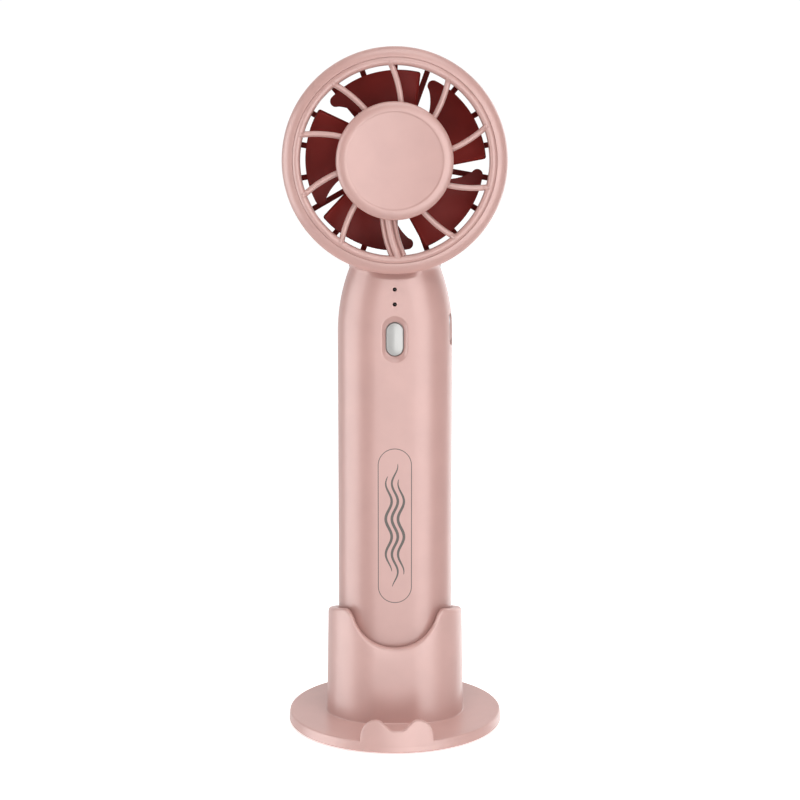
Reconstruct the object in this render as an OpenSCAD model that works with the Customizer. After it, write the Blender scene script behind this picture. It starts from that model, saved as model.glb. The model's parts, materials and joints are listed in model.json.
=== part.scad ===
// Handheld electric fan standing in its round desk stand.
// Origin at the centre of the stand's underside, +Z up, the fan blows towards -Y.

/* [Handle] */
// Width of the handle, left to right
handle_w = 36.9; // [35.5:0.1:38]
// Depth of the handle, front to back
handle_d = 27; // [26.5:0.1:27.5]
// Radius of the handle's upright corners
handle_corner = 12.5; // [12:0.1:13]
// Thickness of the shell walls
wall = 1.9; // [1.7:0.1:2.2]
// Height at which the shoulders start to curve in
shoulder_z = 129; // [127:0.5:131]
// Radius of the curve of the shoulders
shoulder_r = 57.8; // [54:0.1:62]

/* [Head] */
// Height of the impeller's axis above the table
head_z = 183.5; // [183:0.1:184]
// Outer radius of the head
head_r = 35.2; // [35:0.1:35.5]
// Distance from the shell seam to the front edge of the head
head_front = 16.4; // [16.3:0.1:16.6]
// Distance from the shell seam to the back edge of the head
head_back = 14; // [13.6:0.1:15]
// Radius of the air duct
duct_r = 31.2; // [31:0.1:31.3]
// Radius of the groove between the head and the shoulders
neck_groove_r = 36.5; // [36.3:0.1:37]

/* [Grilles] */
// Number of front spokes, one of which is the wire channel
spoke_count = 10; // [8:1:10]
// Width of a thin front spoke
spoke_w = 1.8; // [1.4:0.1:2]
// Width of the wire channel spoke
channel_w = 5.2; // [5:0.1:5.6]
// Inner radius of the front grille's rim
rim_inner_r = 29.4; // [29:0.1:29.8]
// Number of rear struts
strut_count = 18; // [12:1:22]
// Width of a rear strut
strut_w = 1.85; // [1.4:0.05:2.2]
// Radius of the front hub cap
hub_cap_r = 18.2; // [18:0.1:18.6]

/* [Impeller] */
// Number of blades
blade_count = 5; // [3:1:5]
// Radius of the blade tips
blade_tip_r = 28.4; // [27:0.1:28.8]
// Thickness of a blade
blade_t = 1.3; // [1:0.1:1.6]
// Outer radius of the impeller's hub
impeller_hub_r = 12.8; // [12.6:0.1:13.2]

/* [Motor] */
// Radius of the motor shaft
shaft_r = 1; // [0.95:0.01:1]
// Number of stator teeth
tooth_count = 9; // [6:1:9]

/* [Stand] */
// Radius of the stand's plate
plate_r = 35; // [34.5:0.1:36]
// Height of the plate's upper face
plate_top = 3.9; // [3.7:0.1:4]
// Height of the rim of the cup, at its sides
cup_top = 37.8; // [37:0.1:38.5]
// Thickness of the cup's wall at its rim
cup_wall = 3; // [2.6:0.1:3.2]
// Gap between the handle and the cup
cup_gap = 0.45; // [0.35:0.05:0.5]
// Height of the top of the phone ledge
ledge_top = 10.7; // [9.5:0.1:12]

/* [Controls] */
// Height of the middle of the power button
button_z = 127.7; // [127.4:0.1:128]
// Travel of the power button
button_travel = 0.6; // [0.4:0.05:0.6]
// Height of the middle of the charging port
port_z = 130.1; // [129.8:0.1:130.4]

/* [Hidden] */
$fn = 72;

// Clearances
part_gap = 0.2;
bend_full = 1.12;
rest_gap = 0.3;
over = 1;

// Colours
shell_pink = "#dbbab3";
stand_pink = "#dcbcb6";
maroon = "#5e2221";
steel = "#c9ccd0";
brass = "#c8a96a";
copper = "#b8703c";
black = "#1b1b1d";

// Stand
pad_t = 1;
pad_sink = 0.5;
pad_inner_r = 22;
pad_outer_r = 32;
cup_w = handle_w + 2 * (cup_gap + cup_wall);
cup_d = handle_d + 2 * (cup_gap + cup_wall);
cup_flare = 0.55;
rim_slope = 12.4;
ear_rise = 3.1;
scoop_r = 14;
scoop_z = cup_top + 4.5;
scoop_blend = 2.6;
ledge_w = 23;
ledge_inner_r = 31.2;
ledge_setback = 0.15;
ledge_bottom = 1.2;
ledge_notch_w = 11.6;
ledge_notch_d = 3.4;

// Handle
handle_bottom = plate_top + rest_gap;
handle_top = head_z - head_r * 0.9;
shoulder_lead = 0.02;
neck_groove_depth = 2.6;
cavity_bottom = handle_bottom + wall;
cavity_top = 146;
front_y = -handle_d / 2;
inner_front_y = front_y + wall;
screw_x = 13;
screw_z = [18, 108];
boss_r = 3.3;
screw_r = 1;
screw_head_r = 2;
screw_head_h = 1.5;
screw_seat_y = 4.5;
screw_tip_y = -8;
port_w = 10.4;
port_d = 4;

// Controls, from the front face inwards
button_w = 5.2;
button_h = 10.3;
button_gap = 0.3;
recess_w = 7.8;
recess_h = 14.4;
recess_depth = 0.8;
button_proud = 0.1;
flange_grow = 1.2;
flange_t = 0.5;
flange_front_y = inner_front_y + rest_gap;
led_z = [138.8, 143.5];
led_hole_r = 0.65;

// Circuit board
board_y = -6.6;
board_t = 1.2;
board_w = 25;
board_bottom = 114;
board_h = 31;
switch_w = 6;
switch_body_d = 2.6;
post_r = 1.5;
post_x = 10;
post_end_y = inner_front_y + 0.1;
port_y = board_y + board_t + 1.65;
port_len = 7.3;
port_shell_w = 8.94;
port_shell_d = 3.2;

// Battery
cell_r = 9.1;
cell_h = 65;
cell_bottom = 28;
cell_top = cell_bottom + cell_h;
cradle_w = 20;
cradle_back_y = 10.5;
tab_t = 0.3;
foam_h = 4;

// Head, measured forwards from the seam
front_edge_r = 3.6;
rear_edge_r = 2.4;
seat_r = 31.8;
rim_back = 12.9;
rim_front = 17;
rim_outer_r = seat_r - part_gap;
spoke_back = 13.4;
spoke_front = 16.3;
spoke_inner_r = 16.8;
spoke_outer_r = rim_inner_r + over;
spoke_bow_r = 36.4;
spoke_bow_centre_r = 37.25;
spoke_bow_centre_a = 64.9;
spoke_first_a = 92;
channel_index = 5;
channel_a = spoke_first_a - channel_index * 360 / spoke_count;
channel_groove_w = 2.9;
channel_floor = 14.4;
cover_w = 2.3;
cover_front = 16.9;
carrier_r = 17.6;
carrier_back = 12.6;
carrier_floor = 14.2;
cap_back = 17.2;
cap_front = 19.4;
cap_dish_r = 15.5;
rear_seat_r = 32.6;
rear_seat_back = -10.8;
grille_back = -13.7;
strut_step = 0.3;
wire_hole_x = 1.03;
wire_hole_half = 1.8;
wire_w = 8.6;
wire_end_r = 12.5;
wire_r = 0.38;
wire_pitch = 1;

// Motor, measured forwards from the seam
bearing_r = 2.5;
bearing_h = 2.5;
tube_r = 3.2;
tube_back = 2;
tube_front = 14.2;
running_fit = 0.03;
press_gap = 0.01;
stator_back = 3.6;
stator_front = 9.4;
stator_r = 9;
tooth_w = 1.6;
magnet_inner_r = 9.35;
magnet_outer_r = 10.6;
yoke_r = 11.3;
yoke_back = 0.4;
yoke_t = 0.8;
yoke_front = 10.6;
impeller_back = -1.2;
shaft_back = -0.8;
shaft_front = 14.6;
clip_back = 13.85;
clip_t = 0.3;
clip_r = 1.9;

// Blade, seen from the front, with its trailing edge at angle 0
blade_first_a = 2.1;
blade_span_a = 60.6;
lobe_r = 1.8;
blade_mid_a = 31;
blade_camber_r = 65;
blade_camber_x = 23.2;
blade_camber_w = 63.5;

function polar(r, a) = [r * cos(a), r * sin(a)];
function arc(r, from, to, steps) = [for (i = [0 : steps]) polar(r, from + (to - from) * i / steps)];

// Stands the head's own frame up: x stays right, y becomes up and z points forwards
module head_frame() {
    translate([0, 0, head_z]) rotate([90, 0, 0]) children();
}

// A ring between two radii and two heights
module ring(outer, inner, from, to) {
    difference() {
        translate([0, 0, from]) cylinder(r = outer, h = to - from);
        translate([0, 0, from - over]) cylinder(r = inner, h = to - from + 2 * over);
    }
}

// A disc between two heights
module disc(r, from, to) {
    translate([0, 0, from]) cylinder(r = r, h = to - from);
}

// An upright block with round corners; the profile lists how far its sides stand out at each height
module rounded_block(w, d, r, profile) {
    last = len(profile) - 1;
    for (sx = [-1, 1], sy = [-1, 1])
        translate([sx * (w / 2 - r), sy * (d / 2 - r), 0])
            rotate_extrude()
                polygon(concat(
                    [[0, profile[0][1]]],
                    [for (p = profile) [r + p[0], p[1]]],
                    [[0, profile[last][1]]]
                ));
    rotate([90, 0, 0])
        linear_extrude(height = d - 2 * r, center = true) mirrored_profile(w / 2, profile);
    rotate([90, 0, 90])
        linear_extrude(height = w - 2 * r, center = true) mirrored_profile(d / 2, profile);
}

module mirrored_profile(half, profile) {
    last = len(profile) - 1;
    polygon(concat(
        [for (p = profile) [half + p[0], p[1]]],
        [for (i = [last : -1 : 0]) [-half - profile[i][0], profile[i][1]]]
    ));
}

// A capsule with its long side upright
module capsule(w, h) {
    square([w, h - w], center = true);
    for (s = [-1, 1])
        translate([0, s * (h - w) / 2]) circle(d = w);
}

// Extrudes a front view between two depths
module from_front(y_near, y_far) {
    translate([0, y_far, 0]) rotate([90, 0, 0]) linear_extrude(height = y_far - y_near) children();
}

// ---- Stand ----

module stand() {
    color(stand_pink) difference() {
        union() {
            plate();
            cup_outside();
            phone_ledge();
        }
        ring(pad_outer_r + part_gap, pad_inner_r - part_gap, 0, pad_t);
        rounded_block(handle_w + 2 * cup_gap, handle_d + 2 * cup_gap, handle_corner + cup_gap,
                      [[0, plate_top], [0, cup_top + ear_rise + 2 * over]]);
        from_front(-cup_d, 0) cup_scoop();
    }
}

module plate() {
    rotate_extrude($fn = 120)
        polygon([[0, pad_sink], [plate_r - 0.4, pad_sink], [plate_r, pad_sink + 0.4],
                 [plate_r - 0.6, plate_top - 0.5], [plate_r - 1.1, plate_top], [0, plate_top]]);
}

// The cup's outside, cut off by a plane that falls towards the back
module cup_outside() {
    intersection() {
        rounded_block(cup_w, cup_d, handle_corner + cup_gap + cup_wall,
                      [[cup_flare, plate_top - over], [0, cup_top - 0.5], [0, cup_top + ear_rise + over]]);
        translate([-cup_w, 0, cup_top]) rotate([-rim_slope, 0, 0])
            translate([0, -cup_d, -2 * cup_top]) cube([2 * cup_w, 2 * cup_d, 2 * cup_top]);
    }
}

// The scoop in the cup's rim, a round dip with round shoulders
module cup_scoop() {
    blend_z = cup_top + ear_rise - scoop_blend;
    cut_top = cup_top + ear_rise + 2 * over;
    blend_x = sqrt(pow(scoop_r + scoop_blend, 2) - pow(scoop_z - blend_z, 2));
    touch_a = atan2(scoop_z - blend_z, -blend_x);
    shoulder = [for (p = arc(scoop_blend, touch_a - 3, 90, 6)) [blend_x + p[0], blend_z + p[1]]];
    translate([0, scoop_z]) circle(r = scoop_r);
    polygon(concat(
        shoulder,
        [[blend_x, cut_top], [-blend_x, cut_top]],
        [for (i = [len(shoulder) - 1 : -1 : 0]) [-shoulder[i][0], shoulder[i][1]]]
    ));
}

// The low ledge at the front of the plate that stops a phone from sliding off
module phone_ledge() {
    difference() {
        intersection() {
            ring(plate_r - ledge_setback, ledge_inner_r, ledge_bottom, ledge_top);
            translate([-ledge_w / 2, -plate_r - over, 0]) cube([ledge_w, plate_r, ledge_top + over]);
        }
        from_front(-plate_r - over, 0)
            translate([0, ledge_top]) rotate(90) capsule(2 * ledge_notch_d, ledge_notch_w);
    }
}

module foot_pad() {
    color(black) ring(pad_outer_r, pad_inner_r, 0, pad_t);
}

// ---- Shells ----

module shell_outside() {
    intersection() {
        rounded_block(handle_w, handle_d, handle_corner,
                      [[-1.2, handle_bottom], [-0.35, handle_bottom + 0.35], [0, handle_bottom + 1.2],
                       [0, handle_top]]);
        from_front(-handle_d, handle_d) handle_outline(handle_w / 2, shoulder_r, 0, handle_top);
    }
}

// Front view of the handle: clear of its straight sides, then shoulders that curve in
module handle_outline(half, r, bottom, top) {
    translate([-half - over, bottom]) square([2 * (half + over), shoulder_z - bottom]);
    intersection() {
        translate([-half - over, shoulder_z]) square([2 * (half + over), top - shoulder_z]);
        translate([half + shoulder_lead - r, shoulder_z]) circle(r = r, $fn = 180);
        translate([r - half - shoulder_lead, shoulder_z]) circle(r = r, $fn = 180);
    }
}

// The shell's outside moved in to the middle of its wall, where bosses end
module shell_middle() {
    rounded_block(handle_w - wall, handle_d - wall, handle_corner - wall / 2,
                  [[0, cavity_bottom - wall / 2], [0, handle_top]]);
}

module shell_cavity() {
    intersection() {
        rounded_block(handle_w - 2 * wall, handle_d - 2 * wall, handle_corner - wall,
                      [[0, cavity_bottom], [0, cavity_top]]);
        from_front(-handle_d, handle_d)
            handle_outline(handle_w / 2 - wall, shoulder_r - wall, 0, cavity_top);
    }
}

// Half of the head's round housing, with its outer end rounded
module head_drum(length, edge) {
    rotate_extrude($fn = 120) {
        translate([duct_r, 0]) square([head_r - duct_r, length - edge]);
        translate([duct_r, 0]) square([head_r - edge - duct_r, length]);
        intersection() {
            translate([head_r - edge, length - edge]) circle(r = edge);
            translate([duct_r, length - edge]) square([head_r - duct_r, edge]);
        }
    }
}

module front_shell() {
    color(shell_pink) union() {
        difference() {
            union() {
                difference() {
                    shell_outside();
                    shell_cavity();
                    translate([-handle_w, 0, 0]) cube([2 * handle_w, handle_d, head_z]);
                    head_frame() disc(head_r - over, -handle_d, handle_d);
                    head_frame() disc(neck_groove_r, handle_d / 2 - neck_groove_depth, handle_d);
                }
                head_frame() head_drum(head_front, front_edge_r);
            }
            head_frame() disc(seat_r, rim_back, head_front + over);
            wire_passage();
            button_opening();
            led_openings();
            port_opening();
        }
        front_bosses();
        board_posts();
    }
}

module rear_shell() {
    color(shell_pink) difference() {
        union() {
            difference() {
                shell_outside();
                shell_cavity();
                translate([-handle_w, -handle_d, 0]) cube([2 * handle_w, handle_d, head_z]);
                head_frame() disc(head_r - over, -handle_d, handle_d);
            }
            head_frame() mirror([0, 0, 1]) head_drum(head_back, rear_edge_r);
            intersection() {
                screw_places() rotate([-90, 0, 0]) cylinder(r = boss_r, h = handle_d / 2);
                shell_middle();
            }
        }
        head_frame() disc(rear_seat_r, -head_back - over, rear_seat_back);
        screw_places() rotate([-90, 0, 0]) {
            disc(screw_r + part_gap, -over, handle_d);
            disc(screw_head_r + part_gap, screw_seat_y, handle_d);
        }
    }
}

module screw_places() {
    for (sx = [-1, 1], z = screw_z)
        translate([sx * screw_x, 0, z]) children();
}

// Screw bosses of the front shell, with pilot holes
module front_bosses() {
    difference() {
        intersection() {
            screw_places() rotate([90, 0, 0]) cylinder(r = boss_r - 0.6, h = handle_d / 2);
            shell_middle();
        }
        screw_places() rotate([90, 0, 0]) translate([0, 0, -over])
            cylinder(r = screw_r + press_gap, h = over - screw_tip_y + 0.5);
    }
}

// Posts that the circuit board rests on
module board_posts() {
    for (sx = [-1, 1], z = [board_bottom + 3, board_bottom + board_h - 3])
        translate([sx * post_x, board_y, z]) rotate([90, 0, 0])
            cylinder(r = post_r, h = board_y - post_end_y);
}

module wire_passage() {
    half_d = 1.2;
    translate([wire_hole_x - wire_hole_half, -wire_w - half_d, cavity_top - over])
        cube([2 * wire_hole_half, 2 * half_d, head_z - duct_r - cavity_top + 2 * over]);
}

module button_opening() {
    translate([0, 0, button_z]) {
        from_front(front_y - over, front_y + recess_depth) capsule(recess_w, recess_h);
        from_front(front_y - over, inner_front_y + over)
            capsule(button_w + 2 * button_gap, button_h + 2 * button_gap);
    }
}

module led_openings() {
    for (z = led_z)
        translate([0, front_y - over, z]) rotate([-90, 0, 0]) cylinder(r = led_hole_r, h = wall + 2 * over);
}

module port_opening() {
    translate([handle_w / 2 - wall - 3, port_y, port_z]) rotate([90, 0, 90])
        linear_extrude(height = wall + 3 + over) capsule(port_d, port_w);
}

module shell_screws() {
    head_top = screw_seat_y + screw_head_h;
    color(steel) screw_places() rotate([-90, 0, 0]) difference() {
        union() {
            disc(screw_r, screw_tip_y, screw_seat_y);
            disc(screw_head_r, screw_seat_y, head_top);
        }
        for (turn = [0, 90])
            translate([0, 0, head_top]) rotate(turn) cube([2.4, 0.6, 1.4], center = true);
    }
}

// ---- Grilles ----

// Front view of one bowed spoke whose outer end is at angle 0
module bowed_spoke(w, from_r, to_r) {
    intersection() {
        difference() {
            circle(r = to_r, $fn = 120);
            circle(r = from_r);
        }
        translate([0, -to_r / 2]) square([to_r, to_r]);
        translate(polar(spoke_bow_centre_r, spoke_bow_centre_a)) difference() {
            circle(r = spoke_bow_r + w / 2, $fn = 180);
            circle(r = spoke_bow_r - w / 2, $fn = 180);
        }
    }
}

module front_grille() {
    color(shell_pink) head_frame() difference() {
        union() {
            ring(rim_outer_r, rim_inner_r, rim_back, rim_front);
            disc(carrier_r, carrier_back, carrier_floor);
            ring(carrier_r, carrier_r - 1.3, carrier_back, cap_back);
            for (i = [0 : spoke_count - 1])
                translate([0, 0, spoke_back]) rotate(spoke_first_a - i * 360 / spoke_count)
                    linear_extrude(height = spoke_front - spoke_back)
                        bowed_spoke(i == channel_index ? channel_w : spoke_w, spoke_inner_r, spoke_outer_r);
        }
        disc(tube_r, 0, rim_front);
        translate([0, 0, channel_floor]) rotate(channel_a)
            linear_extrude(height = over + rim_front - channel_floor)
                bowed_spoke(channel_groove_w, carrier_r - 2, rim_inner_r + 0.4);
        wire_notch();
    }
}

// The notch in the rim and the floor slot through which the wires reach the channel
module wire_notch() {
    rim_wall = rim_outer_r - rim_inner_r;
    notch_depth = channel_floor + 1.2 - rim_back;
    slot_a = -100;
    slot_from_r = 9;
    slot_len = 4.5;
    slot_w = 2.6;
    translate([wire_hole_x - wire_hole_half, -rim_outer_r - over, rim_back - over])
        cube([2 * wire_hole_half, rim_wall + 2 * over, notch_depth + over]);
    rotate(slot_a) translate([slot_from_r, -slot_w / 2, carrier_back - over])
        cube([slot_len, slot_w, carrier_floor - carrier_back + 2 * over]);
}

module wire_channel_cover() {
    color(shell_pink) head_frame() translate([0, 0, channel_floor + 1]) rotate(channel_a)
        linear_extrude(height = cover_front - channel_floor - 1)
            bowed_spoke(cover_w, carrier_r + part_gap, rim_inner_r - part_gap);
}

module hub_cap() {
    edge = 0.9;
    dish = 0.9;
    color(shell_pink) head_frame() union() {
        rotate_extrude($fn = 120) difference() {
            union() {
                translate([0, cap_back]) square([hub_cap_r - edge, cap_front - cap_back]);
                translate([0, cap_back]) square([hub_cap_r, cap_front - cap_back - edge]);
                translate([hub_cap_r - edge, cap_front - edge]) circle(r = edge);
            }
            polygon([
                [-over, cap_front - dish], [cap_dish_r - 3, cap_front - dish],
                [cap_dish_r, cap_front - dish / 2], [cap_dish_r + 1, cap_front],
                [cap_dish_r + 1, cap_front + over], [-over, cap_front + over]
            ]);
        }
        ring(carrier_r - 1.3 - part_gap, carrier_r - 2.6, cap_back - 1.6, cap_back);
    }
}

module rear_grille() {
    strut_from = grille_back + strut_step;
    strut_length = rear_seat_back - grille_back - 2 * strut_step;
    color(maroon) head_frame() union() {
        ring(rear_seat_r - part_gap, duct_r + 0.1, grille_back, rear_seat_back);
        disc(8, grille_back, rear_seat_back);
        for (i = [0 : strut_count - 1])
            rotate(10 + i * 360 / strut_count)
                translate([7, -strut_w / 2, strut_from]) cube([duct_r - 6.2, strut_w, strut_length]);
    }
}

// ---- Controls and electronics ----

module circuit_board() {
    color("#2f6b45") difference() {
        translate([-board_w / 2, board_y, board_bottom]) cube([board_w, board_t, board_h]);
        translate([0, board_y - over, 141]) rotate([-90, 0, 0]) cylinder(r = 1.2, h = board_t + 2 * over);
    }
}

module board_components() {
    back_y = board_y + board_t;
    color(black) union() {
        translate([-8, back_y, 119]) cube([5, 1.5, 6]);
        translate([-1, back_y, 116]) cube([5, 3, 5]);
        translate([-9, back_y, 129]) cube([4, 1, 4]);
        translate([-2, back_y, 127]) cube([3, 1.6, 2.4]);
    }
}

module tactile_switch() {
    body_front_y = board_y - switch_body_d;
    actuator_y = flange_front_y + flange_t + button_travel + rest_gap;
    color("silver") translate([0, 0, button_z]) union() {
        translate([-switch_w / 2, body_front_y, -switch_w / 2]) cube([switch_w, switch_body_d, switch_w]);
        translate([0, body_front_y, 0]) rotate([90, 0, 0]) cylinder(r = 1.7, h = body_front_y - actuator_y);
    }
}

module status_leds() {
    color("white") for (z = led_z)
        translate([-0.8, board_y - 0.8, z - 0.8]) cube([1.6, 0.8, 1.6]);
}

module led_lenses() {
    back_y = board_y - 1;
    color(black) for (z = led_z)
        translate([0, back_y, z]) rotate([90, 0, 0])
            cylinder(r = led_hole_r - 0.05, h = back_y - front_y - 0.35);
}

module charging_port() {
    color(steel) translate([handle_w / 2 - port_len - 0.9, port_y, port_z]) rotate([90, 0, 90])
        difference() {
            linear_extrude(height = port_len) capsule(port_shell_d, port_shell_w);
            translate([0, 0, over])
                linear_extrude(height = port_len) capsule(port_shell_d - 0.6, port_shell_w - 0.6);
        }
}

module port_tongue() {
    color(black) translate([handle_w / 2 - port_len + 0.1, port_y - 0.35, port_z - 3.3])
        cube([4.6, 0.7, 6.6]);
}

module power_button() {
    color("#d5d4d2") translate([0, 0, button_z]) union() {
        from_front(front_y - button_proud, flange_front_y + flange_t) capsule(button_w, button_h);
        from_front(flange_front_y, flange_front_y + flange_t)
            capsule(button_w + 2 * flange_grow, button_h + 2 * flange_grow);
    }
}

module battery_cell() {
    color("#3f78a8") union() {
        translate([0, 0, cell_bottom]) cylinder(r = cell_r, h = cell_h - 1.2);
        translate([0, 0, cell_top - 1.2]) cylinder(r = 3.2, h = 1.2);
    }
}

// The tray behind the cell, shaped to its round side
module battery_cradle() {
    color("#e5e3df") difference() {
        translate([-cradle_w / 2, 1, cell_bottom]) cube([cradle_w, cradle_back_y - 1, cell_h - 1.2]);
        translate([0, 0, cell_bottom - over]) cylinder(r = cell_r + 0.05, h = cell_h + 2 * over);
    }
}

module battery_tabs() {
    color(steel) union() {
        translate([-4, -4, cell_bottom - tab_t]) cube([8, 8, tab_t]);
        translate([-3, -3, cell_top]) cube([6, 6, tab_t]);
    }
}

module foam_pad() {
    color("#3a3a3c") translate([-8, -1, cell_top + tab_t]) cube([16, 8, foam_h]);
}

// A round wire along a list of points, with a slightly fuller bend at each of them
module wire(points, r) {
    for (i = [0 : len(points) - 2])
        wire_piece(points[i], points[i + 1], r);
    for (i = [1 : len(points) - 2])
        wire_bend(points[i], r);
}

module wire_bend(p, r) {
    translate(p) rotate([17, 31, 0]) sphere(r = r * bend_full, $fn = 24);
}

module wire_piece(from, to, r) {
    d = to - from;
    length = norm(d);
    translate(from) rotate([0, acos(d[2] / length), atan2(d[1], d[0])]) cylinder(r = r, h = length, $fn = 24);
}

module battery_wires() {
    color("#b3282d") wire([[2.2, -2, cell_top + tab_t + 0.6], [2.2, -3.2, cell_top + 6], [5, -4.6, 106],
                           [5, -4.6, board_bottom + 1.5]], 0.6);
    color("#222226") wire([[0, -5, cell_bottom - tab_t - 0.8], [-4.5, -9.8, cell_bottom - 1],
                           [-4.5, -9.8, 100], [-5, -4.6, 108], [-5, -4.6, board_bottom + 1.5]], 0.6);
}

// Angle along the channel's bow at which it passes radius r
function bow_angle(r) =
    channel_a + spoke_bow_centre_a + 180
    + acos((pow(spoke_bow_centre_r, 2) + pow(spoke_bow_r, 2) - r * r)
           / (2 * spoke_bow_centre_r * spoke_bow_r));

// The pair of motor wires: up through the neck, under the grille's rim, then along the channel
module motor_wires() {
    bow_centre = polar(spoke_bow_centre_r, channel_a + spoke_bow_centre_a);
    start_a = bow_angle(duct_r - 0.9);
    end_a = bow_angle(wire_end_r);
    channel_wire_w = channel_floor + wire_r + 0.08;
    for (s = [-1, 1]) {
        bow_r = spoke_bow_r - s * wire_pitch / 2;
        start = bow_centre + polar(bow_r, start_a);
        color(s < 0 ? "#b3282d" : "#222226") head_frame() union() {
            wire([[start[0], 142.5 - head_z, 0.5 - board_y], [start[0], 142.5 - head_z, wire_w],
                  [start[0], start[1], wire_w], [start[0], start[1], channel_wire_w]], wire_r);
            wire_bend([start[0], start[1], channel_wire_w], wire_r);
            translate([bow_centre[0], bow_centre[1], channel_wire_w]) rotate(end_a)
                rotate_extrude(angle = start_a - end_a, $fn = 180)
                    translate([bow_r, 0]) circle(r = wire_r, $fn = 24);
        }
    }
}

// ---- Motor ----

module bearing_tube() {
    color(brass) head_frame() ring(tube_r - press_gap, bearing_r, tube_back, tube_front);
}

module bearing(from) {
    color(steel) head_frame() ring(bearing_r - press_gap, shaft_r + running_fit, from, from + bearing_h);
}

module rear_bearing() {
    bearing(tube_back + 0.2);
}

module front_bearing() {
    bearing(clip_back - 0.1 - bearing_h);
}

module stator_core() {
    color("#8d9299") head_frame() difference() {
        translate([0, 0, stator_back]) linear_extrude(height = stator_front - stator_back) stator_outline();
        disc(tube_r, 0, rim_front);
    }
}

module stator_outline() {
    half_a = 180 / tooth_count - 4;
    circle(r = 4.6);
    for (i = [0 : tooth_count - 1])
        rotate(i * 360 / tooth_count) {
            translate([4, -tooth_w / 2]) square([4.2, tooth_w]);
            intersection() {
                difference() {
                    circle(r = stator_r);
                    circle(r = stator_r - 1.1);
                }
                polygon([[0, 0], polar(2 * stator_r, -half_a), polar(2 * stator_r, half_a)]);
            }
        }
}

module stator_coils() {
    coil_t = 0.7;
    coil_inner_r = 5.3;
    coil_len = 2.4;
    long = stator_front - stator_back + 0.1;
    short = tooth_w + 0.1;
    color(copper) head_frame() for (i = [0 : tooth_count - 1])
        rotate(i * 360 / tooth_count) translate([coil_inner_r, 0, (stator_back + stator_front) / 2])
            rotate([0, 90, 0]) linear_extrude(height = coil_len) difference() {
                square([long + 2 * coil_t, short + 1.3 * coil_t], center = true);
                square([long, short], center = true);
            }
}

module motor_board() {
    color("#2f6b45") head_frame() ring(10.2, tube_r, 11.2, 12.2);
}

module rotor_magnet() {
    color("#3c3d42") head_frame()
        ring(magnet_outer_r, magnet_inner_r, yoke_back + yoke_t + 0.6, yoke_front - 0.3);
}

module rotor_yoke() {
    color(steel) head_frame() union() {
        ring(yoke_r, magnet_outer_r, yoke_back, yoke_front);
        ring(yoke_r, shaft_r, yoke_back, yoke_back + yoke_t);
    }
}

module motor_shaft() {
    color(steel) head_frame() disc(shaft_r, shaft_back, shaft_front);
}

module retaining_clip() {
    color(steel) head_frame() ring(clip_r, shaft_r, clip_back, clip_back + clip_t);
}

// ---- Impeller ----

// Front view of one blade: straight trailing edge, round tip, full leading lobe, hollow leading edge
module blade_outline() {
    lobe = polar(blade_tip_r - lobe_r, blade_span_a);
    polygon(concat(
        [[12, -2.6]],
        arc(blade_tip_r, 0, blade_span_a, 16),
        [for (a = [10 : 20 : 170]) lobe + polar(lobe_r, blade_span_a + a)],
        [polar(23.2, 59), polar(19.7, 53.5), polar(16, 49), polar(12, 45)]
    ));
}

module blade() {
    intersection() {
        translate([0, 0, -10]) linear_extrude(height = 30) blade_outline();
        rotate(blade_mid_a) translate([0, blade_camber_x, blade_camber_w]) rotate([0, 90, 0]) difference() {
            cylinder(r = blade_camber_r + blade_t / 2, h = 40, $fn = 180);
            translate([0, 0, -over]) cylinder(r = blade_camber_r - blade_t / 2, h = 42, $fn = 180);
        }
    }
}

module impeller() {
    color(maroon) head_frame() union() {
        ring(impeller_hub_r, yoke_r, yoke_back, yoke_front + 0.2);
        ring(impeller_hub_r, shaft_r, impeller_back, yoke_back);
        for (i = [0 : blade_count - 1])
            difference() {
                rotate(blade_first_a + i * 360 / blade_count) blade();
                disc(impeller_hub_r - 0.3, -20, 30);
            }
    }
}

stand();
foot_pad();
front_shell();
rear_shell();
front_grille();
wire_channel_cover();
hub_cap();
rear_grille();
circuit_board();
board_components();
tactile_switch();
status_leds();
led_lenses();
charging_port();
port_tongue();
battery_cell();
battery_cradle();
battery_tabs();
battery_wires();
foam_pad();
motor_wires();
stator_core();
stator_coils();
motor_board();
bearing_tube();
front_bearing();
rear_bearing();
shell_screws();
impeller();
rotor_yoke();
rotor_magnet();
motor_shaft();
retaining_clip();
power_button();
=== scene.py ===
# %% [markdown]
# # A handheld fan in its desk stand
# The real object is a soft pink moulded fan: a round head with a grille at each end,
# a five-bladed impeller, a slim handle, and a round stand with a cup for the handle.
# The CAD gives the sizes and the moving bodies. This script dresses that frame with
# finished surfaces: rounded mouldings, printed line work and satin plastic.

# %% Load the frame
import json
from math import acos, asin, atan2, cos, hypot, pi, radians, sin, sqrt, tan
import bmesh
import bpy
import numpy as np
from mathutils import Matrix, Vector


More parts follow.
